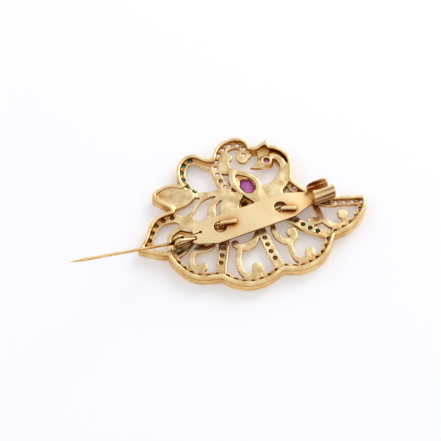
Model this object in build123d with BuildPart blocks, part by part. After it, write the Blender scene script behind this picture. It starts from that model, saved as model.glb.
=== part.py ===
from build123d import *
from math import acos, atan2, cos, floor, hypot, radians, sin
import os

# Peacock brooch with a hinged pin, lying on its front with the back up.
# X runs along the pin plate, the open pin points to -X, Z is up, and the front rim stands on z = 0.
# Lengths are in millimetres.

# Pierced frame
brooch_length = 46.2
brooch_width = 33.9
rim_rise = 0.9
rim_wall = 0.75
band_width = 2.1
deck_front = 1.0
deck_thickness = 0.8
low_band_thickness = 0.35
figure_front = 0.4
figure_thickness = 1.8
beak_thickness = 0.7
head_thickness = 0.9
web_front = 0.6
web_thickness = 0.6
scroll_width = 1.2
leaf_lip = 0.35
leaf_dish_depth = 0.8
leaf_dish_radius = 3.9
ridge_height = 0.35

# Small stones set from the front, with a drilled hole behind each
stone_diameter = 1.3
stone_pitch = 1.6
stone_table_depth = 0.65
stone_crown = 0.45
stone_pavilion = 0.5
stone_sides = 8
seat_clearance = 0.05
drill_diameter = 0.92

# Wing stone and eye stone
wing_stone_overlap = 0.4
wing_stone_front = 0.1
wing_recess_depth = 0.6
eye_bezel_radius = 1.15
eye_bezel_height = 0.5
eye_hole_diameter = 1.25
eye_stone_overlap = 0.22
eye_stone_depth = 0.9
eye_stone_thickness = 0.7

# Pin plate
plate_gap = 0.1
plate_thickness = 0.5
plate_length = 25.1
plate_width = 5.9
plate_start_share = -0.26
plate_axis_y = 0.35
plate_hole_diameter = 2.5
relief_diameter = 0.6
relief_from_end = 2.2
relief_y = 1.05
slit_width = 0.14

# Rolled catch
catch_length = 4.4
catch_radius = 2.2
catch_offset_y = -0.4
rib_count = 4
rib_radius = 0.38
rib_rise = 0.16
rib_start = 122
rib_end = 204
mouth_angle = 75

# Fixing wires, soldered to the frame
fixing_wire_diameter = 0.88
fixing_wire_lift = 0.04
fixing_bend_radius = 0.75

# Spring wire
wire_diameter = 0.6
turn_radius = 1.0
turn_gap = 0.33
leg_clearance = 0.2
coil_from_plate = 2.46
stem_length = 30.5
stem_taper = 3.2
stem_point_diameter = 0.12
moving_turn_y = 1.1
plate_slot_clearance = 0.08
leg_reach = 1.4
leg_slot_reach = 0.6
# Direction of the hinge axis and of the open pin, as unit vectors
hinge_axis = (-0.1122, 0.993, 0.0367)
open_direction = (-0.7489, -0.2496, 0.6139)

# How far a piece or a cut runs into or past its neighbour
join = 0.3

deck_back = deck_front + deck_thickness
figure_back = figure_front + figure_thickness
rim_height = deck_back + rim_rise
plate_start_x = brooch_length * plate_start_share

# Each row below is a point of the motif: how far across as a share (%) of brooch_length, and how far up as a share (%)
# of brooch_width, from the origin under the pin plate's middle. A third column is a width as a share of scroll_width.
RIM = {
    "petal_upper": [
        (-48.3, 8.0), (-45.2, 10.5), (-41.1, 17.4), (-36.8, 22.9), (-32.5, 24.8),
        (-28.1, 24.5),
    ],
    "leaf_lower": [
        (-28.1, 24.5), (-28.8, 27.9), (-30.4, 31.2), (-31.9, 34.4), (-33.3, 37.8),
    ],
    "leaf": [
        (-33.3, 37.8), (-31.4, 40.7), (-28.6, 42.0), (-25.1, 42.5), (-22.1, 41.3),
        (-19.5, 38.9),
    ],
    "left_lobe": [
        (-19.5, 38.9), (-19.7, 44.0), (-18.7, 48.9), (-17.0, 52.8), (-14.4, 55.9),
        (-11.3, 57.4), (-8.4, 56.7), (-6.1, 54.0), (-4.1, 50.8), (-1.9, 49.4),
    ],
    "top_loop": [
        (-1.9, 49.4), (-0.4, 52.8), (1.7, 56.0), (4.8, 58.4), (8.7, 59.1),
        (12.3, 58.1), (14.9, 55.5), (16.0, 51.9), (15.8, 49.0),
    ],
    "brow": [
        (15.8, 49.0), (18.2, 47.8), (20.3, 48.5), (22.5, 49.7), (24.9, 51.2),
    ],
    "crest": [
        (24.9, 51.2), (24.2, 47.8), (24.1, 45.3),
    ],
    "neck": [
        (24.1, 45.3), (26.5, 43.2), (28.5, 39.6), (29.6, 35.5), (29.7, 31.2),
        (28.7, 26.4), (27.2, 21.8), (26.0, 17.4),
    ],
    "throat": [
        (26.0, 17.4), (27.5, 12.7), (29.2, 8.3), (30.8, 4.8),
    ],
    "behind_catch": [
        (30.8, 4.8), (32.8, 1.8), (35.1, -0.3), (39.6, -2.8),
    ],
    "tail_top": [
        (39.6, -2.8), (45.5, -5.8), (51.7, -8.6),
    ],
    "sector": [
        (51.7, -8.6), (50.6, -12.7), (48.7, -16.8), (45.9, -20.4), (42.4, -23.5),
        (38.5, -25.5), (34.6, -26.4), (31.0, -26.7),
    ],
    "scallop_c": [
        (31.0, -26.7), (29.0, -30.4), (26.4, -34.2), (22.9, -37.6), (18.8, -39.8),
        (14.3, -40.7), (9.7, -39.7), (6.3, -37.6), (3.9, -36.6),
    ],
    "scallop_b": [
        (3.9, -36.6), (0.6, -38.5), (-3.2, -39.7), (-7.4, -39.8), (-11.3, -38.9),
        (-14.9, -36.4), (-18.2, -32.7), (-21.0, -27.7),
    ],
    "scallop_a": [
        (-21.0, -27.7), (-25.1, -26.5), (-29.0, -24.5), (-32.3, -21.1), (-34.8, -16.5),
        (-36.6, -11.2), (-37.4, -6.2), (-37.7, -2.1),
    ],
    "petal_lower": [
        (-37.7, -2.1), (-40.3, -0.4), (-43.1, 2.2), (-45.5, 4.7), (-48.3, 8.0),
    ],
}
STROKES = {
    "coil_guard": [
        (-35.2, -2.8, 0.42), (-33.2, -4.5, 0.42), (-31.1, -3.9, 0.42), (-28.7, -2.2, 0.42),
        (-26.3, -0.2, 0.42), (-23.3, 1.6, 0.50),
    ],
    "coil_ring": [
        (-25.9, 13.7, 0.79), (-28.9, 12.4, 0.75), (-31.7, 11.0, 0.71), (-33.7, 8.7, 0.67),
        (-34.8, 5.1, 0.67), (-35.6, 1.0, 0.67), (-35.4, -3.1, 0.58),
    ],
    "scroll_a": [
        (-21.5, -0.2, 1.17), (-24.6, -3.9, 1.08), (-27.6, -6.5, 0.96), (-29.3, -10.2, 0.96),
        (-29.8, -14.3, 1.04), (-28.7, -17.9, 1.17), (-26.7, -20.5, 1.17),
    ],
    "tongue_a": [
        (-25.2, -4.9, 1.08), (-22.8, -5.5, 1.25), (-20.5, -5.8, 1.08), (-18.5, -5.6, 0.75),
        (-16.8, -5.0, 0.33),
    ],
    "left_bar": [
        (-10.9, 3.1, 1.67), (-12.0, -2.2, 1.75), (-13.7, -7.6, 1.75), (-15.7, -12.9, 1.75),
        (-17.9, -18.5, 1.75), (-19.8, -23.8, 1.75), (-21.1, -27.6, 1.67),
    ],
    "scroll_b_top": [
        (-9.2, -7.8, 1.00), (-7.9, -11.7, 1.25), (-5.5, -13.2, 1.42), (-2.9, -12.9, 1.42),
        (-0.8, -11.1, 1.17), (0.8, -8.1, 0.75), (1.6, -5.2, 0.42),
    ],
    "scroll_b": [
        (-7.9, -12.3, 0.92), (-10.1, -17.6, 0.88), (-11.6, -22.3, 0.92), (-12.0, -27.0, 0.96),
        (-11.1, -30.9, 1.08), (-9.0, -33.5, 1.25), (-6.6, -34.1, 1.25),
    ],
    "finger_b": [
        (-5.1, -28.5, 1.75), (-5.7, -31.4, 1.75), (-7.3, -34.4, 1.50),
    ],
    "mid_bar": [
        (3.8, 10.7, 1.54), (3.7, -4.0, 1.54), (3.5, -14.3, 1.54), (3.5, -24.7, 1.54),
        (3.8, -37.1, 1.54),
    ],
    "scroll_c_top": [
        (10.3, 9.0, 1.00), (9.8, 0.4, 1.00), (9.1, -5.8, 0.92), (8.5, -10.5, 0.88),
        (8.9, -14.6, 1.00), (10.4, -17.9, 1.08), (12.7, -19.1, 1.13), (14.8, -18.2, 1.13),
        (15.9, -15.5, 1.08),
    ],
    "scroll_c": [
        (12.7, -19.4, 1.00), (11.8, -23.5, 0.83), (11.4, -27.6, 0.83), (11.8, -31.4, 0.92),
        (13.5, -34.4, 1.08), (16.1, -35.6, 1.25),
    ],
    "finger_c": [
        (18.4, -29.8, 1.58), (17.7, -32.9, 1.67), (16.6, -35.9, 1.50),
    ],
    "green_bar": [
        (14.0, 10.7, 1.58), (14.8, 4.8, 1.58), (16.0, 0.1, 1.62), (17.5, -4.6, 1.67),
        (19.3, -9.0, 1.67), (21.2, -13.5, 1.67), (23.4, -17.3, 1.62), (26.0, -20.8, 1.58),
        (28.7, -24.1, 1.50), (30.4, -26.1, 1.33),
    ],
    "bud_d": [
        (25.4, -12.1, 1.58), (27.2, -12.7, 1.33), (29.1, -13.2, 1.08),
    ],
    "scroll_d": [
        (30.0, 3.7, 1.00), (29.9, -2.8, 1.00), (29.9, -8.4, 1.00), (30.3, -13.5, 0.96),
        (31.6, -17.9, 1.00), (34.1, -20.8, 1.17), (37.1, -22.0, 1.25), (39.9, -22.0, 1.25),
    ],
    "finger_d": [
        (38.9, -14.3, 1.00), (38.7, -17.6, 0.92), (38.4, -21.1, 1.17),
    ],
    "strip": [
        (-23.3, 18.4, 0.75), (-20.5, 19.6, 0.58), (-18.1, 22.2, 0.58), (-15.5, 25.2, 0.62),
        (-12.4, 27.0, 0.75), (-9.0, 27.7, 1.00),
    ],
    "lobe_base": [
        (-16.8, 31.4, 1.00), (-13.7, 29.8, 1.08), (-10.1, 28.1, 1.08), (-6.4, 27.6, 1.08),
        (-2.9, 27.7, 1.17), (0.1, 26.4, 1.08),
    ],
    "feather": [
        (-13.5, 6.3, 1.50), (-13.1, 13.4, 1.50), (-12.0, 16.9, 1.33), (-10.7, 19.9, 1.17),
        (-8.5, 22.4, 1.08), (-5.5, 23.7, 1.00),
    ],
    "loop_band": [
        (-1.2, 49.4, 1.50), (-2.3, 45.0, 1.50), (-2.8, 39.6, 1.54), (-2.8, 34.3, 1.54),
        (-2.4, 29.0, 1.50), (-1.4, 25.5, 1.42),
    ],
    "lobe_root": [
        (-18.1, 40.8, 1.17), (-17.4, 37.3, 1.25), (-16.3, 34.3, 1.25), (-14.6, 31.4, 1.25),
    ],
    "neck_band": [
        (21.9, 39.9, 0.95), (24.6, 37.1, 1.10), (25.8, 32.7, 1.22), (25.4, 28.1, 1.35),
        (23.6, 23.7, 1.68), (20.7, 19.9, 1.92), (16.6, 17.8, 2.00), (11.8, 17.5, 2.00),
    ],
    "throat_strut": [
        (23.3, 17.5, 0.67), (24.0, 13.7, 0.54), (25.2, 9.6, 0.54), (26.9, 5.4, 0.75),
        (30.0, 3.1, 0.83),
    ],
    "spine": [
        (-23.7, 2.8, 1.08), (-11.1, 3.4, 1.25), (4.0, 3.7, 1.25), (17.0, 3.4, 1.25),
        (30.0, 2.8, 1.08),
    ],
}
BALLS = {
    "ball_a": (-26.4, -16.4, 0.88),
    "ball_b_top": (-9.0, -9.0, 0.65),
    "ball_b": (-5.1, -28.6, 0.90),
    "ball_c_top": (15.3, -14.2, 0.88),
    "ball_c": (18.4, -30.0, 0.82),
    "bud": (25.5, -12.1, 0.83),
    "ball_d": (38.9, -14.3, 0.88),
    "drop": (12.0, 46.4, 1.20),
    "head": (19.6, 36.0, 1.20),
    "throat_cup": (25.2, 13.4, 0.92),
}
PLATES = {
    "cheek": [
        (-28.2, 24.6), (-25.9, 21.7), (-23.7, 19.7), (-21.1, 18.1), (-20.5, 16.0),
        (-19.6, 13.7), (-16.8, 12.8), (-16.3, 7.8), (-22.0, 6.6), (-26.1, 9.6),
        (-28.0, 12.8), (-27.4, 15.5), (-29.1, 19.6),
    ],
    "wide_leaf": [
        (-9.2, 7.2), (-9.0, 13.1), (-8.3, 16.3), (-7.0, 19.6), (-5.7, 21.9),
        (-6.8, 24.9), (-3.6, 26.4), (-0.8, 25.5), (1.6, 23.1), (3.5, 20.2),
        (2.5, 18.1), (0.5, 15.2), (-0.5, 12.5), (-1.2, 7.2),
    ],
    "wing": [
        (3.4, 39.4), (1.5, 35.5), (0.5, 31.4), (0.5, 27.3), (1.7, 23.7),
        (3.1, 20.5), (4.7, 18.1), (7.3, 16.9), (10.5, 17.8), (12.9, 20.5),
        (13.2, 24.3), (12.4, 28.4), (10.7, 32.3), (8.1, 35.5), (5.5, 37.9),
    ],
    "loop_leaf": [
        (6.0, 52.3), (6.3, 49.7), (7.0, 47.6), (6.4, 45.8), (5.1, 45.0),
        (4.4, 43.2), (4.2, 40.8), (3.6, 38.8), (1.6, 37.3), (0.1, 38.2),
        (-1.6, 41.4), (-1.2, 45.5), (1.0, 50.3), (3.4, 53.8),
    ],
    "beak": [
        (11.7, 35.7), (14.4, 37.0), (17.2, 38.9), (19.6, 37.0), (18.6, 32.8),
        (16.4, 32.6), (13.8, 33.9),
    ],
    "brow_link": [
        (17.3, 38.9), (17.5, 43.2), (19.2, 47.2), (22.4, 48.8), (23.3, 43.2),
        (21.6, 39.0), (19.4, 37.2),
    ],
    "body": [
        (3.8, 19.0), (5.1, 15.8), (6.2, 12.8), (6.4, 7.2), (20.0, 7.2),
        (20.2, 13.4), (22.0, 15.2), (23.9, 17.2), (25.9, 20.8), (24.8, 24.9),
        (22.2, 24.6), (19.2, 22.2), (15.7, 21.1), (13.1, 21.9), (10.5, 19.0),
        (7.5, 17.5),
    ],
    "coil_web": [
        (-27.4, 12.2), (-30.2, 11.2), (-32.9, 9.2), (-34.3, 5.4), (-35.2, 1.0),
        (-34.8, -2.9), (-33.0, -4.2), (-30.8, -3.5), (-28.4, -1.8), (-26.0, 0.2),
        (-23.4, 2.0), (-22.6, 5.4), (-24.6, 9.8),
    ],
    "wing_web": [
        (-2.0, 7.0), (-1.2, 12.8), (0.2, 16.0), (2.2, 19.2), (3.9, 20.4),
        (6.2, 17.2), (7.2, 13.2), (7.4, 7.0),
    ],
    "drop_point": [
        (10.4, 40.9), (8.3, 45.3), (9.4, 48.6), (14.4, 47.6), (15.1, 44.3), (12.6, 42.0),
    ],
}
# Hollow in the wing's back, and the hole in its floor that shows the stone
RECESS = [
    (4.4, 34.0), (3.7, 30.2), (3.6, 26.4), (4.2, 22.2), (5.7, 19.4),
    (7.9, 19.0), (9.8, 20.8), (10.6, 23.7), (10.3, 27.3), (8.8, 30.5),
    (6.6, 32.9),
]
WING_HOLE = [
    (5.2, 30.2), (6.3, 30.9), (9.3, 29.4), (9.8, 27.9), (10.2, 23.8),
    (9.8, 21.9), (7.6, 19.6), (6.0, 19.7), (4.4, 23.5), (4.1, 26.3),
]
ROWS = {
    "left_lobe": [
        (-10.7, 54.2), (-14.0, 52.8), (-16.5, 48.9), (-17.3, 43.4), (-16.7, 37.9),
        (-14.9, 33.3),
    ],
    "top_loop": [
        (13.4, 50.4), (10.8, 54.9), (6.7, 55.6), (3.5, 53.7), (0.6, 50.0),
        (-1.7, 45.0), (-2.5, 39.7), (-2.5, 34.4), (-1.8, 29.4),
    ],
    "left_bar": [
        (-11.3, -0.3), (-14.6, -9.6), (-16.6, -13.7), (-18.3, -17.9),
    ],
    "mid_bar": [
        (3.6, -1.8), (3.5, -11.7), (3.2, -16.7), (3.2, -22.0), (3.5, -26.7),
    ],
    "green_bar": [
        (15.2, 5.3), (16.5, 0.4), (17.7, -3.8), (19.4, -8.1), (21.3, -12.3),
        (23.4, -16.1), (25.6, -19.4),
    ],
    "tail_top": [
        (32.3, -1.0), (38.4, -5.2), (41.7, -6.8), (44.8, -8.3), (48.7, -10.0),
    ],
}
LEAF_EDGE = [
    (-28.1, 24.5), (-25.1, 25.2), (-22.3, 25.4), (-19.3, 26.4), (-16.9, 28.0),
    (-15.2, 30.4), (-15.6, 34.2), (-17.5, 37.2), (-19.5, 38.9),
]
# Foot and tip of each fixing wire
FIXING_WIRES = [
    ((-11.9, 3.7), (-5.2, 1.5)),
    ((15.0, -0.3), (20.8, -4.0)),
]


# For each lobe of the rim: width of its stone band at its start and end as shares of band_width, and the part of its
# run that carries stones (from, to). A run of 0 to 0 has its stones in ROWS or is plain.
BANDS = {
    "petal_upper": (0.62, 1.12, 0.12, 0.97),
    "left_lobe": (0.85, 0.85, 0.0, 0.0),
    "top_loop": (1.02, 1.02, 0.0, 0.0),
    "neck": (1.05, 1.05, 0.0, 0.0),
    "behind_catch": (0.70, 0.90, 0.0, 0.0),
    "tail_top": (0.80, 0.80, 0.0, 0.0),
    "sector": (0.80, 0.82, 0.10, 0.93),
    "scallop_c": (0.82, 0.82, 0.06, 0.94),
    "scallop_b": (0.82, 0.82, 0.06, 0.94),
    "scallop_a": (0.82, 0.82, 0.06, 0.80),
    "petal_lower": (0.45, 0.45, 0.0, 0.0),
}
GREEN_ROWS = ("left_lobe", "green_bar")
FIGURE = ("neck_band", "body", "wing", "beak", "head")
# Bands and plates that lie deeper than the rest of the frame
LOW_BANDS = ("neck",)
LOW_PLATES = ("coil_web", "wing_web")
# Raised edges along two of the bars: the first point of the bar that has one, and the shares of the bar's half width
# where the edge starts and ends
RIDGES = {"left_bar": (1, -0.95, -0.55), "green_bar": (3, 0.60, 0.95)}

# Pin plate: stations along its length, with its near and far edge as shares of plate_width from its axis
PLATE_STATIONS = [
    (0.0, -0.17, 0.107),
    (0.026, -0.26, 0.107),
    (0.031, -0.27, 0.355),
    (0.18, -0.5, 0.5),
    (0.822, -0.5, 0.5),
    (0.975, -0.30, 0.275),
    (1.0, -0.29, 0.27),
]
# Middle of each plate hole from the foot of its fixing wire, as shares of the hole's diameter
HOLE_OFFSETS = [(-0.12, -0.22), (-0.02, 0.22)]
# Mouth of the catch, as shares of catch_radius across it: its far edge at the ends and the middle, and its near edge
MOUTH_FAR = (1.05, 0.8)
MOUTH_NEAR = (-0.5, -0.64)


def at(row):
    return (brooch_length * row[0] / 100, brooch_width * row[1] / 100)


def right_normals(points):
    found = []
    last = len(points) - 1
    for i in range(last + 1):
        x0, y0 = points[max(i - 1, 0)]
        x1, y1 = points[min(i + 1, last)]
        run = hypot(x1 - x0, y1 - y0)
        found.append(((y1 - y0) / run, -(x1 - x0) / run))
    return found


def shifted(points, offsets):
    return [
        (x + n[0] * d, y + n[1] * d)
        for (x, y), n, d in zip(points, right_normals(points), offsets)
    ]


def ribbon(points, near, far):
    # A strip beside a route: near and far are its distances to the right of the route, one for each point
    with BuildSketch() as shape:
        with BuildLine():
            first = Spline(*shifted(points, near))
            second = Spline(*shifted(points, far))
            Line(first @ 0, second @ 0)
            Line(first @ 1, second @ 1)
        make_face()
    return shape.sketch.face()


def stroke(rows):
    points = [at(row) for row in rows]
    halves = [scroll_width * row[2] / 2 for row in rows]
    return ribbon(points, [-half for half in halves], halves)


def disc(x, y, radius):
    with BuildSketch() as shape:
        with Locations((x, y)):
            Circle(radius)
    return shape.sketch.face()


def patch(points):
    with BuildSketch() as shape:
        with BuildLine():
            Spline(*points, periodic=True)
        make_face()
    return shape.sketch.face()


def spread(points, start, end):
    # Places at the stone pitch along a route between two shares of its length
    with BuildLine():
        route = Spline(*points)
    run = route.length * (end - start)
    count = max(1, floor(run / stone_pitch + 0.05))
    marks = [start + (end - start) * i / count for i in range(count + 1)]
    return [((route @ mark).X, (route @ mark).Y) for mark in marks]


rim_points = {name: [at(row) for row in rows] for name, rows in RIM.items()}
with BuildSketch() as outline:
    with BuildLine():
        for points in rim_points.values():
            Spline(*points)
    make_face()
outline_face = outline.sketch.face()

rim_faces = []
band_faces = []
low_faces = []
white_places = []
green_places = []
for name, points in rim_points.items():
    steps = len(points)
    wall = [rim_wall] * steps
    rim_faces.append(ribbon(points, [0] * steps, wall))
    rim_faces.append(disc(*points[0], rim_wall))
    if name in BANDS:
        start_share, end_share, stones_from, stones_to = BANDS[name]
        widths = [
            band_width * (start_share + (end_share - start_share) * i / (steps - 1))
            for i in range(steps)
        ]
        band = ribbon(points, [rim_wall / 2] * steps, widths)
        if name in LOW_BANDS:
            low_faces.append(band)
        else:
            band_faces.append(band)
        if stones_to > 0:
            middle = shifted(points, [width * 0.55 for width in widths])
            white_places += spread(middle, stones_from, stones_to)
for name, rows in ROWS.items():
    places = spread([at(row) for row in rows], 0, 1)
    if name in GREEN_ROWS:
        green_places += places
    else:
        white_places += places
white_places += [at(BALLS[name]) for name in ("drop", "throat_cup")]


def well_apart(places):
    # Crowded corners keep the first stone only
    kept = []
    for place in places:
        room = [hypot(place[0] - x, place[1] - y) for x, y in kept]
        if not room or min(room) > stone_diameter + 4 * seat_clearance:
            kept.append(place)
    return kept


white_places = well_apart(white_places)
all_places = well_apart(white_places + green_places)
green_places = [place for place in all_places if place in green_places]

deck_faces = [stroke(rows) for name, rows in STROKES.items() if name not in FIGURE]
deck_faces += [
    disc(*at(row), scroll_width * row[2]) for name, row in BALLS.items() if name not in FIGURE
]
deck_faces += [
    patch([at(row) for row in rows])
    for name, rows in PLATES.items()
    if name not in FIGURE + LOW_PLATES
]
web_faces = [patch([at(row) for row in PLATES[name]]) for name in LOW_PLATES]
figure_faces = [stroke(STROKES["neck_band"])]
figure_faces += [patch([at(row) for row in PLATES[name]]) for name in ("body", "wing")]
beak_face = patch([at(row) for row in PLATES["beak"]])
head_x, head_y = at(BALLS["head"])
head_face = disc(head_x, head_y, scroll_width * BALLS["head"][2])


def layer(faces, front, thickness):
    # The faces together, kept inside the outline and extruded back from their front level
    with BuildPart() as body:
        with BuildSketch(Plane.XY.offset(front)):
            add([Location((0, 0, front)) * face for face in faces])
            add(Location((0, 0, front)) * outline_face, mode=Mode.INTERSECT)
        extrude(amount=thickness)
    return body.part


frame_layers = [
    layer(rim_faces, 0, rim_height),
    layer(deck_faces + band_faces, deck_front, deck_thickness),
    layer(low_faces, deck_front, low_band_thickness),
    layer(web_faces, web_front, web_thickness),
    layer(figure_faces, figure_front, figure_thickness),
    layer([head_face], figure_back - head_thickness, head_thickness),
    layer([beak_face], figure_back - beak_thickness, beak_thickness),
]

# Dished leaf: a plate with a lip left round a shallow spherical hollow
leaf_edge = [at(row) for row in LEAF_EDGE]
with BuildPart() as leaf:
    with BuildSketch(Plane.XY.offset(deck_front)) as leaf_plan:
        with BuildLine():
            for edge in (rim_points["leaf_lower"], rim_points["leaf"], leaf_edge):
                Spline(*edge)
        make_face()
    extrude(amount=deck_thickness + leaf_lip)
    leaf_middle = leaf_plan.sketch.center()
    dish_radius = (leaf_dish_radius**2 + leaf_dish_depth**2) / (2 * leaf_dish_depth)
    dish_height = deck_back + leaf_lip - leaf_dish_depth + dish_radius
    with Locations((leaf_middle.X, leaf_middle.Y, dish_height)):
        Sphere(dish_radius, mode=Mode.SUBTRACT)

# Thin raised edges along two bars
ridge_faces = []
for name, (first_row, start_share, end_share) in RIDGES.items():
    rows = STROKES[name][first_row:]
    points = [at(row) for row in rows]
    halves = [scroll_width * row[2] / 2 for row in rows]
    ridge_faces.append(
        ribbon(
            points,
            [half * start_share for half in halves],
            [half * end_share for half in halves],
        )
    )
with BuildPart() as ridges:
    with BuildSketch(Plane.XY.offset(deck_back - deck_thickness / 2)):
        add([Location((0, 0, deck_back - deck_thickness / 2)) * face for face in ridge_faces])
    extrude(amount=deck_thickness / 2 + ridge_height)

# Fixing wires: up from the frame through a plate hole, then bent over on the plate
plate_bottom = rim_height + plate_gap
plate_top = plate_bottom + plate_thickness
wire_level = plate_top + fixing_wire_lift + fixing_wire_diameter / 2


def fixing_wire(rows):
    foot, tip = [at(row) for row in rows]
    with BuildPart() as wire:
        with BuildLine():
            FilletPolyline(
                (*foot, deck_back - deck_thickness / 2),
                (*foot, wire_level),
                (*tip, wire_level),
                radius=fixing_bend_radius,
            )
        with BuildSketch(Plane.XY.offset(deck_back - deck_thickness / 2)):
            with Locations(foot):
                Circle(fixing_wire_diameter / 2)
        sweep()
    return wire.part


wires = [fixing_wire(rows) for rows in FIXING_WIRES]

# One drill: a stone seat opened from the front, a cone up to the drilled hole, and the hole
seat_radius = stone_diameter / 2 + seat_clearance
stone_front = stone_table_depth
stone_girdle = stone_front + stone_crown
stone_back = stone_girdle + stone_pavilion
cone_base = stone_girdle + seat_clearance
cone_top = cone_base + stone_pavilion * (seat_radius - drill_diameter / 2) / seat_radius
with BuildPart() as drill:
    with BuildSketch(Plane.XZ):
        Polygon(
            (0, -join),
            (seat_radius, -join),
            (seat_radius, cone_base),
            (drill_diameter / 2, cone_top),
            (drill_diameter / 2, deck_back + join),
            (0, deck_back + join),
            align=None,
        )
    revolve(axis=Axis.Z)

recess_points = [at(row) for row in RECESS]
wing_hole = [at(row) for row in WING_HOLE]
wing_x = sum(x for x, y in wing_hole) / len(wing_hole)
wing_y = sum(y for x, y in wing_hole) / len(wing_hole)


def wing_outline(share, amount):
    # The wing hole's outline scaled about its middle, then moved out by an amount
    moved = []
    for x, y in wing_hole:
        grown = share + amount / hypot(x - wing_x, y - wing_y)
        moved.append((wing_x + (x - wing_x) * grown, wing_y + (y - wing_y) * grown))
    return moved


stone_ledge = figure_front + figure_thickness / 2
eye_ledge = figure_back + eye_bezel_height - eye_stone_depth

with BuildPart() as casting:
    for frame_layer in frame_layers:
        add(frame_layer)
    add(leaf.part)
    add(ridges.part)
    for wire in wires:
        add(wire)
    # Bezel round the eye
    with BuildSketch(Plane.XY.offset(figure_back - join)):
        with Locations((head_x, head_y)):
            Circle(eye_bezel_radius)
    extrude(amount=eye_bezel_height + join)
    with Locations(*[(x, y, 0) for x, y in white_places + green_places]):
        add(drill.part, mode=Mode.SUBTRACT)
    # Eye hole, wider in front where its stone sits
    with Locations((head_x, head_y, figure_back)):
        Cylinder(eye_hole_diameter / 2, 4 * figure_thickness, mode=Mode.SUBTRACT)
    with Locations((head_x, head_y, 0)):
        Cylinder(
            eye_hole_diameter / 2 + eye_stone_overlap + seat_clearance,
            2 * eye_ledge,
            mode=Mode.SUBTRACT,
        )
    # Drop-shaped recess in the wing, a hole in its floor, and the stone's pocket in front of it
    recess_floor = figure_back - wing_recess_depth
    with BuildSketch(Plane.XY.offset(recess_floor)):
        add(Location((0, 0, recess_floor)) * patch(recess_points))
    extrude(amount=figure_thickness, mode=Mode.SUBTRACT)
    with BuildSketch():
        Polygon(*wing_hole, align=None)
    extrude(amount=figure_back, mode=Mode.SUBTRACT)
    with BuildSketch():
        Polygon(*wing_outline(1, wing_stone_overlap + seat_clearance), align=None)
    extrude(amount=stone_ledge, mode=Mode.SUBTRACT)

casting.part.label = "casting"

# Stones: an octagonal cut with a table in front and a pavilion towards the drilled hole
with BuildPart() as stone:
    for low, high, low_share, high_share in (
        (stone_front, stone_girdle, 0.58, 1.0),
        (stone_girdle, stone_back, 1.0, 0.14),
    ):
        with BuildSketch(Plane.XY.offset(low)):
            RegularPolygon(stone_diameter / 2 * low_share, stone_sides)
        with BuildSketch(Plane.XY.offset(high)):
            RegularPolygon(stone_diameter / 2 * high_share, stone_sides)
        loft(ruled=True)

with BuildPart() as white_stones:
    with Locations(*[(x, y, 0) for x, y in white_places]):
        add(stone.part)
white_stones.part.label = "white_stones"

with BuildPart() as green_stones:
    with Locations(*[(x, y, 0) for x, y in green_places]):
        add(stone.part)
green_stones.part.label = "green_stones"

wing_stone_back = stone_ledge - seat_clearance
wing_stone_girdle = (wing_stone_front + wing_stone_back) / 2
with BuildPart() as ruby_wing:
    for low, high, low_share, high_share in (
        (wing_stone_front, wing_stone_girdle, 0.62, 1.0),
        (wing_stone_girdle, wing_stone_back, 1.0, 0.5),
    ):
        with BuildSketch(Plane.XY.offset(low)):
            Polygon(*wing_outline(low_share, wing_stone_overlap * low_share), align=None)
        with BuildSketch(Plane.XY.offset(high)):
            Polygon(*wing_outline(high_share, wing_stone_overlap * high_share), align=None)
        loft(ruled=True)
ruby_wing.part.label = "ruby_wing"

eye_stone_radius = eye_hole_diameter / 2 + eye_stone_overlap
eye_stone_back = eye_ledge - seat_clearance
eye_stone_girdle = eye_stone_back - eye_stone_thickness / 2
with BuildPart() as ruby_eye:
    for low, high, low_share, high_share in (
        (eye_stone_back - eye_stone_thickness, eye_stone_girdle, 0.6, 1.0),
        (eye_stone_girdle, eye_stone_back, 1.0, 0.5),
    ):
        with BuildSketch(Plane.XY.offset(low)):
            with Locations((head_x, head_y)):
                RegularPolygon(eye_stone_radius * low_share, stone_sides)
        with BuildSketch(Plane.XY.offset(high)):
            with Locations((head_x, head_y)):
                RegularPolygon(eye_stone_radius * high_share, stone_sides)
        loft(ruled=True)
ruby_eye.part.label = "ruby_eye"

# Spring wire: the lower leg runs under the plate and sets the height of the coil
plate_end_x = plate_start_x + plate_length
coil_x = plate_start_x - coil_from_plate
leg_level = plate_bottom - leg_clearance - wire_diameter / 2
coil_z = leg_level + turn_radius
fixed_turn_y = moving_turn_y - wire_diameter - turn_gap
slot_x = plate_start_x + leg_slot_reach
slot_z = (plate_bottom + plate_top) / 2
reach = hypot(slot_x - coil_x, slot_z - coil_z)
rise = atan2(slot_z - coil_z, slot_x - coil_x) + acos(turn_radius / reach)
touch = (coil_x + turn_radius * cos(rise), coil_z + turn_radius * sin(rise))
# In the plane of the fixed turn, x is the model's X and y is its Z
turn_plane = Plane(origin=(0, fixed_turn_y, 0), x_dir=(1, 0, 0), z_dir=(0, -1, 0))
with BuildPart() as spring_turn:
    with BuildLine(turn_plane):
        Line((slot_x, slot_z), touch)
        ThreePointArc(
            touch,
            (coil_x - turn_radius, coil_z),
            (coil_x, leg_level),
        )
        Line((coil_x, leg_level), (plate_start_x + leg_reach, leg_level))
    start_plane = Plane(
        origin=(slot_x, fixed_turn_y, slot_z),
        z_dir=(touch[0] - slot_x, 0, touch[1] - slot_z),
    )
    with BuildSketch(start_plane):
        Circle(wire_diameter / 2)
    sweep()
spring_turn.part.label = "spring_turn"

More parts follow.
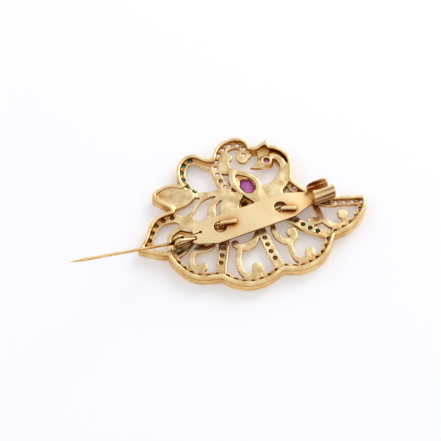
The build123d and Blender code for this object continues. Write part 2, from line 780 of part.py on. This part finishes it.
# Moving turn and pin, as they stand when open: the pin leaves the turn at its tangent
axis = Vector(*hinge_axis).normalized()
along = Vector(*open_direction).normalized()
coil_centre = Vector(coil_x, moving_turn_y, coil_z)
in_turn = (along - axis * axis.dot(along)).normalized()
root = coil_centre + in_turn.cross(axis) * turn_radius
shaft_length = stem_length - stem_taper
with BuildPart(Plane(origin=coil_centre, z_dir=axis)) as moving_turn:
    Torus(turn_radius, wire_diameter / 2)
with BuildPart(Plane(origin=root, z_dir=along)) as shaft:
    Cylinder(wire_diameter / 2, shaft_length, align=(Align.CENTER, Align.CENTER, Align.MIN))
    with Locations((0, 0, shaft_length)):
        Cone(
            wire_diameter / 2,
            stem_point_diameter / 2,
            stem_taper,
            align=(Align.CENTER, Align.CENTER, Align.MIN),
        )
    Sphere(wire_diameter / 2)
with BuildPart() as pin_stem:
    add(moving_turn.part)
    add(shaft.part)
pin_stem.part.label = "pin_stem"

# Pin plate with its holes, its slit and notch at the spring's end, and the rolled catch at the other
near_side = [
    (plate_start_x + plate_length * s, plate_axis_y + plate_width * low)
    for s, low, high in PLATE_STATIONS
]
far_side = [
    (plate_start_x + plate_length * s, plate_axis_y + plate_width * high)
    for s, low, high in PLATE_STATIONS
]
relief_x = plate_start_x + relief_from_end
catch_y = plate_axis_y + catch_offset_y
catch_z = plate_bottom + catch_radius
catch_middle_x = plate_end_x + catch_length / 2
slot_width = wire_diameter + 2 * plate_slot_clearance
slot_depth = leg_slot_reach + wire_diameter / 2 + 2 * plate_slot_clearance

with BuildPart() as pin_plate:
    with BuildSketch(Plane.XY.offset(plate_bottom)):
        Polygon(*near_side, *reversed(far_side), align=None)
        for (foot_row, tip_row), (dx, dy) in zip(FIXING_WIRES, HOLE_OFFSETS):
            foot_x, foot_y = at(foot_row)
            with Locations((foot_x + dx * plate_hole_diameter, foot_y + dy * plate_hole_diameter)):
                Circle(plate_hole_diameter / 2, mode=Mode.SUBTRACT)
        with Locations((relief_x, relief_y)):
            Circle(relief_diameter / 2, mode=Mode.SUBTRACT)
        with Locations(((plate_start_x + relief_x) / 2, relief_y)):
            Rectangle(relief_from_end, slit_width, mode=Mode.SUBTRACT)
        with Locations((plate_start_x + slot_depth / 2, fixed_turn_y)):
            Rectangle(slot_depth, slot_width, mode=Mode.SUBTRACT)
    extrude(amount=plate_thickness)
    with Locations((catch_middle_x, catch_y, catch_z)):
        Cylinder(catch_radius, catch_length, rotation=(0, 90, 0))
    rib_reach = catch_radius + rib_rise - rib_radius
    for i in range(rib_count):
        turn = radians(rib_start + (rib_end - rib_start) * i / (rib_count - 1))
        with Locations(
            (
                catch_middle_x,
                catch_y + rib_reach * cos(turn),
                catch_z + rib_reach * sin(turn),
            )
        ):
            Cylinder(rib_radius, catch_length, rotation=(0, 90, 0))
    with Locations((catch_middle_x, catch_y, catch_z)):
        Cylinder(
            catch_radius - plate_thickness,
            2 * catch_length,
            rotation=(0, 90, 0),
            mode=Mode.SUBTRACT,
        )
    # Lens-shaped mouth that lets the pin in from above
    mouth_plane = Plane(
        origin=(catch_middle_x, catch_y, catch_z),
        x_dir=(1, 0, 0),
        z_dir=(0, cos(radians(mouth_angle)), sin(radians(mouth_angle))),
    )
    far_end, far_middle = [catch_radius * share for share in MOUTH_FAR]
    near_end, near_middle = [catch_radius * share for share in MOUTH_NEAR]
    half = catch_length / 2 + join
    with BuildSketch(mouth_plane):
        with BuildLine():
            ThreePointArc((-half, far_end), (0, far_middle), (half, far_end))
            Line((half, far_end), (half, near_end))
            ThreePointArc((half, near_end), (0, near_middle), (-half, near_end))
            Line((-half, near_end), (-half, far_end))
        make_face()
    extrude(amount=catch_radius * 1.5, mode=Mode.SUBTRACT)
pin_plate.part.label = "pin_plate"

os.makedirs("parts", exist_ok=True)
for piece in (
    casting,
    pin_plate,
    spring_turn,
    pin_stem,
    white_stones,
    green_stones,
    ruby_wing,
    ruby_eye,
):
    export_step(piece.part, f"parts/{piece.part.label}.step")
    print(piece.part.label, len(piece.part.solids()), round(piece.part.volume, 3))
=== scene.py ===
import math

import bmesh
import bpy
from mathutils import Matrix, Vector
from mathutils.bvhtree import BVHTree


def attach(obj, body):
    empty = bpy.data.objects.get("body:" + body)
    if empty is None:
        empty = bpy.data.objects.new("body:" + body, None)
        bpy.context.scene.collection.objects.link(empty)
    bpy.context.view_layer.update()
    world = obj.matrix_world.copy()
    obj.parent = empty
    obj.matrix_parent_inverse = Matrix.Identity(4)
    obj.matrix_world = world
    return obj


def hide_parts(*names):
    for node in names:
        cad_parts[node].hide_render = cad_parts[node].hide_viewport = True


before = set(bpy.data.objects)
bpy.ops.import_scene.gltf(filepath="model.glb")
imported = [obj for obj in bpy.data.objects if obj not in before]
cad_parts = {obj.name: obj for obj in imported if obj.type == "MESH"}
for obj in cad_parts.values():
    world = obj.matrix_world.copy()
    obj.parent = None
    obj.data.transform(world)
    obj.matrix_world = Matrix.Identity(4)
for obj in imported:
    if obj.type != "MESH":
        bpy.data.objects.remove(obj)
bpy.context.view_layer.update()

# Peacock brooch lying on its front with the pin open. Everything is in the CAD frame, in metres, apart from
# what is marked as millimetres.
MM = 0.001

# Camera of the photograph
CAMERA_ELEVATION = 57.0
CAMERA_AZIMUTH = -22.7
CAMERA_DISTANCE = 330 * MM
PICTURE_SIZE = 441
PIXELS_PER_MM = 5.13
# A point over the frame's origin, and the photograph's pixel that it falls on
ANCHOR = Vector((0, 0, 3.8 * MM))
ANCHOR_PIXEL = (249.0, 218.5)
SENSOR_WIDTH = 36.0
CLIP_START = 0.01
CLIP_END = 20

# Light tent: its lit sides are brighter than its top, where flat metal mirrors it
TENT_TOP = (0.2, 0.5, 0.84)
TENT = [(0.0, "#C9C9CE"), (0.45, "#FFFFFF"), (0.8, "#F4F4F6"), (0.97, "#D6D6DA")]
TENT_STRENGTH = 1.06
KEY_POWER = 1.1
KEY_PLACE = (0.40, 0.26, 0.38)
KEY_SIZE = 0.30
FLOOR_HALF_SIZE = 4.0

# Rounding of the cast and pressed metal: lengths in millimetres, rounds of smoothing, triangles kept
CAST_GRID = 0.12
CAST_SMOOTHINGS = 3
# The casting's back is rubbed softer from this height up
CAST_SOFT_FROM = 1.9
CAST_SOFT_SMOOTHINGS = 36
# Groove along the outer wall, how far a wall may lean, and how far off it the search for others starts
GROOVE_HEIGHT = 1.6
GROOVE_HALF_WIDTH = 0.3
GROOVE_DEPTH = 0.22
WALL_LEAN = 0.5
SEARCH_START = 0.05
# Swell of the cast surface, left out near the paper so that the front edge stays on it
CAST_UNEVENNESS = 0.12
CAST_UNEVEN_SIZE = 2.4
CLEAR_OF_PAPER = 0.3
CAST_KEEP = 0.47
PLATE_GRID = 0.075
PLATE_SMOOTHINGS = 3
PLATE_KEEP = 0.35
# Corners of the CAD meshes that lie closer than this, in millimetres, are one
JOIN_DISTANCE = 0.0005

# Places of the mix node's colour sockets, which share their names with its number sockets
MIX_COLOUR_A = 6
MIX_COLOUR_B = 7
MIX_COLOUR_RESULT = 2

# Gold: the noise values between which its tone, its side streaks and its roughness change
TONE_RANGE = (0.35, 0.65)
STREAK_RANGE = (0.38, 0.62)
ROUGHNESS_RANGE = (0.3, 0.7)
# Upward share of the normal at which a surface is all side, and at which it is all top
SIDE_RANGE = (0.15, 0.85)
# A streak's width as a share of its length, and the tone between streaks
STREAK_SLIMNESS = 0.1
STREAK_LIGHT = "#FFF6E4"
GRIT_STRENGTH = 0.6
# Painted shade covers a spot as far as the first share of its reach and has faded out at the second
SPOT_SHADE_RANGE = (0.5, 0.8)
SPOT_SHADE = "#4A2410"
HOLLOW_SAMPLES = 8
# Openness up to which the paper's painted glow takes the tint of a painted bounce from the gold, and from
# which it is white
PAPER_RANGE = (0.2, 0.9)
PAPER_ROUGHNESS = 0.9

# Stones further to this side are painted lighter: fully lit this many millimetres on
LIGHT_SIDE = (0.55, 0.83, 0)
LIGHT_SPREAD = 20
# Height of the small stones' girdles in millimetres, how far in front of it the crown has all its painted
# light, and how much painted light that is
GIRDLE = 1.1
CROWN_DEPTH = 0.3
CROWN_LIGHT = 0.6
# Sums of cloud, place and crown up to which a stone is painted dim, and from which it is painted lit
DIM_UP_TO = 0.85
LIT_FROM = 1.0

# Stones that lie less than this many pitches apart are neighbours, with grains of metal between them on the
# front: lengths in millimetres
NEIGHBOUR_REACH = 1.25
STONE_PITCH = 1.6
GRAIN_RADIUS = 0.21
GRAIN_HEIGHT = 0.95
GRAIN_SIDESTEP = 0.46


def linear(hex_colour):
    """An sRGB hex colour as linear red, green, blue and alpha."""
    values = [int(hex_colour[i : i + 2], 16) / 255 for i in (1, 3, 5)]
    return [v / 12.92 if v <= 0.04045 else ((v + 0.055) / 1.055) ** 2.4 for v in values] + [1.0]


def add_node(material, kind, settings=None, inputs=None, links=None):
    """One node with its settings, its input values, and links given as input name: (node, output name)."""
    node = material.node_tree.nodes.new(kind)
    for name, value in (settings or {}).items():
        setattr(node, name, value)
    for name, value in (inputs or {}).items():
        node.inputs[name].default_value = value
    for name, (source, output) in (links or {}).items():
        material.node_tree.links.new(source.outputs[output], node.inputs[name])
    return node


def new_material(name):
    """An empty material."""
    material = bpy.data.materials.new(name)
    material.use_nodes = True
    material.node_tree.nodes.clear()
    return material


def finish_material(material, shader):
    """The material with its shader joined to the output."""
    output = add_node(material, "ShaderNodeOutputMaterial")
    material.node_tree.links.new(shader.outputs["BSDF"], output.inputs["Surface"])
    return material


def ramp_colours(ramp, stops):
    """Sets a colour ramp's stops from (place, hex colour) pairs."""
    elements = ramp.color_ramp.elements
    while len(elements) < len(stops):
        elements.new(0.5)
    for element, (place, colour) in zip(elements, stops):
        element.position = place
        element.color = linear(colour)


def multiplied(material, first, second, factor=None):
    """The first node's colour multiplied by the second's, as far as the factor node says.

    The gamma node changes nothing. It hands the colour on under the name Color, as the ramps do.
    """
    mix = add_node(material, "ShaderNodeMix", settings={"data_type": "RGBA", "blend_type": "MULTIPLY"})
    mix.inputs["Factor"].default_value = 1.0
    links = material.node_tree.links
    links.new(first.outputs[0], mix.inputs[MIX_COLOUR_A])
    links.new(second.outputs[0], mix.inputs[MIX_COLOUR_B])
    if factor is not None:
        links.new(factor.outputs[0], mix.inputs["Factor"])
    shown = add_node(material, "ShaderNodeGamma")
    links.new(mix.outputs[MIX_COLOUR_RESULT], shown.inputs["Color"])
    return shown


def painted_spot_shade(material, place, spot, reach_mm):
    """Painted shade round a spot, fading out to clean metal."""
    apart = add_node(
        material,
        "ShaderNodeVectorMath",
        settings={"operation": "DISTANCE"},
        links={0: (place, "Object")},
    )
    apart.inputs[1].default_value = Vector(spot) * MM
    share = add_node(
        material,
        "ShaderNodeMapRange",
        inputs={"From Min": 0.0, "From Max": reach_mm * MM},
        links={"Value": (apart, "Value")},
    )
    spot_shading = add_node(material, "ShaderNodeValToRGB", links={"Fac": (share, "Result")})
    ramp_colours(spot_shading, [(SPOT_SHADE_RANGE[0], SPOT_SHADE), (SPOT_SHADE_RANGE[1], "#FFFFFF")])
    return spot_shading


def gold(
    name,
    bright,
    deep,
    tone_mm,
    side,
    streak_mm,
    grit_mm,
    grit_depth,
    rough,
    hollow_mm,
    hollow_shade,
    spot_shading=(),
):
    """Yellow gold: a slow drift of tone, streaked sides with painted shade, painted shade in hollows and
    round spots, and a fine grit.
    """
    material = new_material(name)
    place = add_node(material, "ShaderNodeTexCoord")
    drift = add_node(
        material,
        "ShaderNodeTexNoise",
        inputs={"Scale": 1 / (tone_mm * MM), "Detail": 3.0, "Roughness": 0.55},
        links={"Vector": (place, "Object")},
    )
    tone = add_node(material, "ShaderNodeValToRGB", links={"Fac": (drift, "Fac")})
    ramp_colours(tone, [(TONE_RANGE[0], deep), (TONE_RANGE[1], bright)])

    # Sides get a painted shade in a tone of their own, streaked along the length
    surface = add_node(material, "ShaderNodeNewGeometry")
    facing = add_node(material, "ShaderNodeSeparateXYZ", links={"Vector": (surface, "Normal")})
    upright = add_node(
        material, "ShaderNodeMath", settings={"operation": "ABSOLUTE"}, links={"Value": (facing, "Z")}
    )
    sideways = add_node(
        material,
        "ShaderNodeMapRange",
        inputs={"From Min": SIDE_RANGE[0], "From Max": SIDE_RANGE[1], "To Min": 1.0, "To Max": 0.0},
        links={"Value": (upright, "Value")},
    )
    along = add_node(
        material,
        "ShaderNodeMapping",
        inputs={"Scale": (STREAK_SLIMNESS, 1.0, 1.0)},
        links={"Vector": (place, "Object")},
    )
    streaks = add_node(
        material,
        "ShaderNodeTexNoise",
        inputs={"Scale": 1 / (streak_mm * MM), "Detail": 1.0},
        links={"Vector": (along, "Vector")},
    )
    side_shade = add_node(material, "ShaderNodeValToRGB", links={"Fac": (streaks, "Fac")})
    ramp_colours(side_shade, [(STREAK_RANGE[0], side), (STREAK_RANGE[1], STREAK_LIGHT)])
    metal = multiplied(material, tone, side_shade, sideways)

    # Painted shade in hollows; metal with painted shade spots looks at its own hollows alone, as the spots
    # stand in for the shade of other parts
    reach = add_node(
        material,
        "ShaderNodeAmbientOcclusion",
        settings={"samples": HOLLOW_SAMPLES, "only_local": bool(spot_shading)},
        inputs={"Distance": hollow_mm * MM},
    )
    brown = add_node(material, "ShaderNodeValToRGB", links={"Fac": (reach, "AO")})
    ramp_colours(brown, hollow_shade)
    metal = multiplied(material, metal, brown)
    for spot, reach_mm in spot_shading:
        metal = multiplied(material, metal, painted_spot_shade(material, place, spot, reach_mm))

    grit = add_node(
        material,
        "ShaderNodeTexNoise",
        inputs={"Scale": 1 / (grit_mm * MM), "Detail": 2.0, "Roughness": 0.6},
        links={"Vector": (place, "Object")},
    )
    roughness = add_node(
        material,
        "ShaderNodeMapRange",
        inputs={
            "From Min": ROUGHNESS_RANGE[0],
            "From Max": ROUGHNESS_RANGE[1],
            "To Min": rough[0],
            "To Max": rough[1],
        },
        links={"Value": (drift, "Fac")},
    )
    bump = add_node(
        material,
        "ShaderNodeBump",
        inputs={"Strength": GRIT_STRENGTH, "Distance": grit_depth * MM},
        links={"Height": (grit, "Fac")},
    )
    shader = add_node(
        material,
        "ShaderNodeBsdfPrincipled",
        inputs={"Metallic": 1.0},
        links={
            "Base Color": (metal, "Color"),
            "Roughness": (roughness, "Result"),
            "Normal": (bump, "Normal"),
        },
    )
    return finish_material(material, shader)


def gem(name, lit, dim, index, transmission, roughness, cloud_mm, glow):
    """A cut stone, clouded, painted lighter in its crown and the further it lies towards the light side,
    with a painted glow in the same tint.
    """
    material = new_material(name)
    place = add_node(material, "ShaderNodeTexCoord")
    cloud = add_node(
        material,
        "ShaderNodeTexNoise",
        inputs={"Scale": 1 / (cloud_mm * MM), "Detail": 1.0},
        links={"Vector": (place, "Object")},
    )
    towards = add_node(
        material,
        "ShaderNodeVectorMath",
        settings={"operation": "DOT_PRODUCT"},
        links={0: (place, "Object")},
    )
    towards.inputs[1].default_value = Vector(LIGHT_SIDE).normalized() / (LIGHT_SPREAD * MM)
    both = add_node(
        material,
        "ShaderNodeMath",
        settings={"operation": "ADD"},
        links={0: (cloud, "Fac"), 1: (towards, "Value")},
    )
    depth = add_node(material, "ShaderNodeSeparateXYZ", links={"Vector": (place, "Object")})
    crown = add_node(
        material,
        "ShaderNodeMapRange",
        inputs={
            "From Min": GIRDLE * MM,
            "From Max": (GIRDLE - CROWN_DEPTH) * MM,
            "To Min": 0.0,
            "To Max": CROWN_LIGHT,
        },
        links={"Value": (depth, "Z")},
    )
    light = add_node(
        material,
        "ShaderNodeMath",
        settings={"operation": "ADD"},
        links={0: (both, "Value"), 1: (crown, "Result")},
    )
    tint = add_node(material, "ShaderNodeValToRGB", links={"Fac": (light, "Value")})
    ramp_colours(tint, [(DIM_UP_TO, dim), (LIT_FROM, lit)])
    shader = add_node(
        material,
        "ShaderNodeBsdfPrincipled",
        inputs={
            "Roughness": roughness,
            "IOR": index,
            "Transmission Weight": transmission,
            "Emission Strength": glow,
        },
        links={"Base Color": (tint, "Color"), "Emission Color": (tint, "Color")},
    )
    return finish_material(material, shader)


def paper(name, colour, bounce_tint, glow, reach_mm):
    """White paper with a painted glow that lifts its shade, tinted where it is hemmed in as a painted
    bounce of the light the gold throws back on to it.
    """
    material = new_material(name)
    reach = add_node(
        material,
        "ShaderNodeAmbientOcclusion",
        settings={"samples": HOLLOW_SAMPLES},
        inputs={"Distance": reach_mm * MM},
    )
    tint = add_node(material, "ShaderNodeValToRGB", links={"Fac": (reach, "AO")})
    ramp_colours(tint, [(PAPER_RANGE[0], bounce_tint), (PAPER_RANGE[1], colour)])
    shader = add_node(
        material,
        "ShaderNodeBsdfPrincipled",
        inputs={
            "Base Color": linear(colour),
            "Roughness": PAPER_ROUGHNESS,
            "Emission Strength": glow,
        },
        links={"Emission Color": (tint, "Color")},
    )
    return finish_material(material, shader)


# Painted shade of gold that mostly sees more gold, brown by how open the place is, from the deepest corner
# to none
HOLLOW_SHADE = [(0.10, "#8E5628"), (0.50, "#A06C36"), (0.76, "#DBAE70"), (0.92, "#FFFFFF")]
SHEET_HOLLOW_SHADE = [(0.30, "#A0602C"), (0.72, "#A66A32"), (0.87, "#E6B274"), (0.96, "#FFFFFF")]
WIRE_HOLLOW_SHADE = [(0.45, "#2C1004"), (0.74, "#70380F"), (0.87, "#DB9B55"), (0.96, "#FFFFFF")]

# Lost-wax casting in 18 carat yellow gold, tumbled and left unpolished behind: satin, cream in the light,
# with painted brown shade in the corners and round two spots
cast_gold = gold(
    "cast_yellow_gold_satin",
    bright="#FAE7B8",
    deep="#E6C385",
    tone_mm=2.2,
    side="#FFEFCE",
    streak_mm=1.4,
    grit_mm=0.4,
    grit_depth=0.025,
    rough=(0.21, 0.34),
    hollow_mm=2.8,
    hollow_shade=HOLLOW_SHADE,
    # Painted shade under the spring coil and in the gap between wing and leaf
    spot_shading=[((-13.4, 0.3, 2.8), 2.6), ((1.2, 5.0, 1.85), 1.6)],
)
# Rolled gold sheet, stamped and lightly brushed: paler and more even than the casting, with painted brown
# shade on its edges
plate_gold = gold(
    "rolled_gold_sheet_satin",
    bright="#F8E3B2",
    deep="#F1D7A2",
    tone_mm=6.0,
    side="#8E5620",
    streak_mm=0.5,
    grit_mm=0.25,
    grit_depth=0.004,
    rough=(0.30, 0.36),
    hollow_mm=3.0,
    hollow_shade=SHEET_HOLLOW_SHADE,
)
# Hard drawn gold wire: smooth, with sharp highlights along it
wire_gold = gold(
    "drawn_gold_wire_polished",
    bright="#F3D9A4",
    deep="#E2BC78",
    tone_mm=5.0,
    side="#D2A060",
    streak_mm=0.4,
    grit_mm=0.3,
    grit_depth=0.004,
    rough=(0.16, 0.24),
    hollow_mm=1.8,
    hollow_shade=WIRE_HOLLOW_SHADE,
)
# Ruby: pinkish red, milky inside, IOR 1.76
ruby = gem(
    "ruby_cut_stone",
    lit="#C865AC",
    dim="#AC5694",
    index=1.76,
    transmission=0.2,
    roughness=0.15,
    cloud_mm=1.2,
    glow=0.06,
)
# The same in the small eye, painted paler and with more glow against the shade of its deep hole, IOR 1.76
ruby_painted_lighter = gem(
    "ruby_eye_painted_lighter",
    lit="#F49CE0",
    dim="#C867B4",
    index=1.76,
    transmission=0.2,
    roughness=0.08,
    cloud_mm=0.8,
    glow=0.12,
)
# Emerald green stone, IOR 1.58
emerald = gem(
    "emerald_cut_stone",
    lit="#74DDB4",
    dim="#17573B",
    index=1.58,
    transmission=0.2,
    roughness=0.05,
    cloud_mm=2.4,
    glow=0.03,
)
# Colourless zirconia, IOR 2.15: painted white light on the light side and painted brown shade on the other,
# with a painted glow
zirconia = gem(
    "zirconia_cut_stone",
    lit="#FFFFFF",
    dim="#7C4A26",
    index=2.15,
    transmission=0.15,
    roughness=0.05,
    cloud_mm=2.2,
    glow=0.25,
)
floor_paper = paper("white_paper_sweep", colour="#E1E1E4", bounce_tint="#FFEBD0", glow=0.24, reach_mm=4.0)


def new_piece(name, mesh, material, body, replaced=None):
    """One piece on its body, in place of a CAD node where one is named."""
    piece = bpy.data.objects.new(name, mesh)
    bpy.context.scene.collection.objects.link(piece)
    mesh.materials.clear()
    mesh.materials.append(material)
    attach(piece, body)
    if replaced:
        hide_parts(replaced)


def joined_copy(node):
    """A copy of a CAD node's mesh in millimetres, with its loose triangles joined."""
    shape = bmesh.new()
    shape.from_mesh(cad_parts[node].data)
    bmesh.ops.transform(shape, matrix=Matrix.Scale(1 / MM, 4), verts=shape.verts)
    bmesh.ops.remove_doubles(shape, verts=shape.verts, dist=JOIN_DISTANCE)
    mesh = bpy.data.meshes.new(node + "_joined")
    shape.to_mesh(mesh)
    shape.free()
    return mesh


def applied(draft):
    """The draft's mesh with its modifiers worked into it."""
    ready = draft.evaluated_get(bpy.context.evaluated_depsgraph_get())
    mesh = bpy.data.meshes.new_from_object(ready)
    draft.modifiers.clear()
    draft.data = mesh
    return mesh


def open_sides(mesh, group):
    """Weighs the outer walls' vertices by how near they lie to the groove's height."""
    shape = BVHTree.FromPolygons([v.co for v in mesh.vertices], [face.vertices for face in mesh.polygons])
    for vert in mesh.vertices:
        away = abs(vert.co.z - GROOVE_HEIGHT) / GROOVE_HALF_WIDTH
        if away >= 1 or abs(vert.normal.z) > WALL_LEAN:
            continue
        outwards = Vector((vert.normal.x, vert.normal.y, 0)).normalized()
        if shape.ray_cast(vert.co + outwards * SEARCH_START, outwards)[0] is None:
            group.add([vert.index], 0.5 + 0.5 * math.cos(math.pi * away), "REPLACE")


def rounded(node, grid, smoothings, keep, unevenness=0.0, soft_from=None):
    """The node's shape remeshed on a fine grid and smoothed: soft edges, as on cast or pressed metal."""
    draft = bpy.data.objects.new(node + "_draft", joined_copy(node))
    bpy.context.scene.collection.objects.link(draft)
    remesh = draft.modifiers.new("grid", "REMESH")
    remesh.mode = "VOXEL"
    remesh.voxel_size = grid
    mesh = applied(draft)
    soften = draft.modifiers.new("soften", "SMOOTH")
    soften.iterations = smoothings
    if soft_from is not None:
        back = draft.vertex_groups.new(name="back")
        back.add([v.index for v in mesh.vertices if v.co.z > soft_from], 1.0, "REPLACE")
        rub = draft.modifiers.new("rub", "SMOOTH")
        rub.iterations = CAST_SOFT_SMOOTHINGS
        rub.vertex_group = "back"
        open_sides(mesh, draft.vertex_groups.new(name="groove"))
        groove = draft.modifiers.new("groove", "DISPLACE")
        groove.strength = -GROOVE_DEPTH
        groove.mid_level = 0.0
        groove.vertex_group = "groove"
    if unevenness:
        clouds = bpy.data.textures.new("cast_unevenness", "CLOUDS")
        clouds.noise_scale = CAST_UNEVEN_SIZE
        swell = draft.modifiers.new("swell", "DISPLACE")
        above = draft.vertex_groups.new(name="above_paper")
        above.add([v.index for v in mesh.vertices if v.co.z > CLEAR_OF_PAPER], 1.0, "REPLACE")
        swell.texture = clouds
        swell.strength = unevenness
        swell.vertex_group = "above_paper"
    thin = draft.modifiers.new("thin", "DECIMATE")
    thin.ratio = keep
    mesh = applied(draft)
    bpy.data.objects.remove(draft)
    mesh.transform(Matrix.Scale(MM, 4))
    for face in mesh.polygons:
        face.use_smooth = True
    return mesh


def solid_centres(node):
    """The middle of each loose solid in a CAD node, in metres."""
    shape = bmesh.new()
    shape.from_mesh(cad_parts[node].data)
    bmesh.ops.remove_doubles(shape, verts=shape.verts, dist=JOIN_DISTANCE * MM)
    waiting = set(shape.verts)
    centres = []
    while waiting:
        group = [waiting.pop()]
        for vert in group:
            for edge in vert.link_edges:
                other = edge.other_vert(vert)
                if other in waiting:
                    waiting.remove(other)
                    group.append(other)
        low = [min(v.co[i] for v in group) for i in range(3)]
        high = [max(v.co[i] for v in group) for i in range(3)]
        centres.append((Vector(low) + Vector(high)) / 2)
    shape.free()
    return sorted(centres, key=lambda c: (round(c.x, 6), round(c.y, 6)))


def grains():
    """Two grains of metal in each gap between neighbouring small stones, on the front."""
    centres = solid_centres("white_stones") + solid_centres("green_stones")
    shape = bmesh.new()
    for i, first in enumerate(centres):
        for second in centres[i + 1 :]:
            apart = second - first
            if apart.length > NEIGHBOUR_REACH * STONE_PITCH * MM:
                continue
            across = Vector((-apart.y, apart.x, 0)).normalized() * GRAIN_SIDESTEP * MM
            middle = (first + second) / 2
            for side in (-1, 1):
                spot = middle + side * across
                bmesh.ops.create_icosphere(
                    shape,
                    subdivisions=2,
                    radius=GRAIN_RADIUS * MM,
                    matrix=Matrix.Translation((spot.x, spot.y, GRAIN_HEIGHT * MM)),
                )
    mesh = bpy.data.meshes.new("grains")
    shape.to_mesh(mesh)
    shape.free()
    for face in mesh.polygons:
        face.use_smooth = True
    return mesh


def photo_camera():
    """The photograph's camera, placed so that the anchor falls on its pixel."""
    elevation = math.radians(CAMERA_ELEVATION)
    azimuth = math.radians(CAMERA_AZIMUTH)
    back = Vector(
        (
            math.sin(azimuth) * math.cos(elevation),
            -math.cos(azimuth) * math.cos(elevation),
            math.sin(elevation),
        )
    )
    right = Vector((math.cos(azimuth), math.sin(azimuth), 0))
    up = back.cross(right)
    pixels_per_m = PIXELS_PER_MM / MM
    aside = (ANCHOR_PIXEL[0] - PICTURE_SIZE / 2) / pixels_per_m
    above = (PICTURE_SIZE / 2 - ANCHOR_PIXEL[1]) / pixels_per_m
    camera = bpy.data.objects.new("camera", bpy.data.cameras.new("camera"))
    bpy.context.scene.collection.objects.link(camera)
    camera.location = ANCHOR - right * aside - up * above + back * CAMERA_DISTANCE
    camera.rotation_mode = "QUATERNION"
    camera.rotation_quaternion = (-back).to_track_quat("-Z", "Y")
    camera.data.sensor_width = SENSOR_WIDTH
    camera.data.lens = SENSOR_WIDTH * pixels_per_m * CAMERA_DISTANCE / PICTURE_SIZE
    camera.data.clip_start = CLIP_START
    camera.data.clip_end = CLIP_END
    bpy.context.scene.camera = camera


def soft_light(name, place, size, energy, colour):
    """A square soft light that faces the brooch."""
    lamp = bpy.data.lights.new(name, "AREA")
    lamp.size = size
    lamp.energy = energy
    lamp.color = linear(colour)[:3]
    light = bpy.data.objects.new(name, lamp)
    bpy.context.scene.collection.objects.link(light)
    light.location = place
    light.rotation_mode = "QUATERNION"
    light.rotation_quaternion = (-Vector(place)).to_track_quat("-Z", "Y")


def studio():
    """White paper to lie on and a light tent all round."""
    shape = bmesh.new()
    bmesh.ops.create_grid(shape, x_segments=1, y_segments=1, size=FLOOR_HALF_SIZE)
    mesh = bpy.data.meshes.new("floor")
    shape.to_mesh(mesh)
    shape.free()
    mesh.materials.append(floor_paper)
    floor = bpy.data.objects.new("floor", mesh)
    bpy.context.scene.collection.objects.link(floor)
    world = bpy.data.worlds.new("studio")
    world.use_nodes = True
    tree = world.node_tree
    sight = tree.nodes.new("ShaderNodeTexCoord")
    towards = tree.nodes.new("ShaderNodeVectorMath")
    towards.operation = "DOT_PRODUCT"
    towards.inputs[1].default_value = Vector(TENT_TOP).normalized()
    shade = tree.nodes.new("ShaderNodeValToRGB")
    ramp_colours(shade, TENT)
    tree.links.new(sight.outputs["Generated"], towards.inputs[0])
    tree.links.new(towards.outputs["Value"], shade.inputs["Fac"])
    sky = tree.nodes["Background"]
    tree.links.new(shade.outputs["Color"], sky.inputs["Color"])
    sky.inputs["Strength"].default_value = TENT_STRENGTH
    bpy.context.scene.world = world
    soft_light("key", KEY_PLACE, KEY_SIZE, KEY_POWER, "#FFFFFF")
    bpy.context.scene.view_settings.view_transform = "Standard"


photo_camera()
studio()

new_piece(
    "casting_body",
    rounded("casting", CAST_GRID, CAST_SMOOTHINGS, CAST_KEEP, CAST_UNEVENNESS, CAST_SOFT_FROM),
    cast_gold,
    "brooch",
    "casting",
)
new_piece("stone_grains", grains(), cast_gold, "brooch")
new_piece(
    "pin_plate_body",
    rounded("pin_plate", PLATE_GRID, PLATE_SMOOTHINGS, PLATE_KEEP),
    plate_gold,
    "brooch",
    "pin_plate",
)

for node, material in {
    "spring_turn": wire_gold,
    "pin_stem": wire_gold,
    "white_stones": zirconia,
    "green_stones": emerald,
    "ruby_wing": ruby,
    "ruby_eye": ruby_painted_lighter,
}.items():
    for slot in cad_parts[node].material_slots:
        slot.material = material
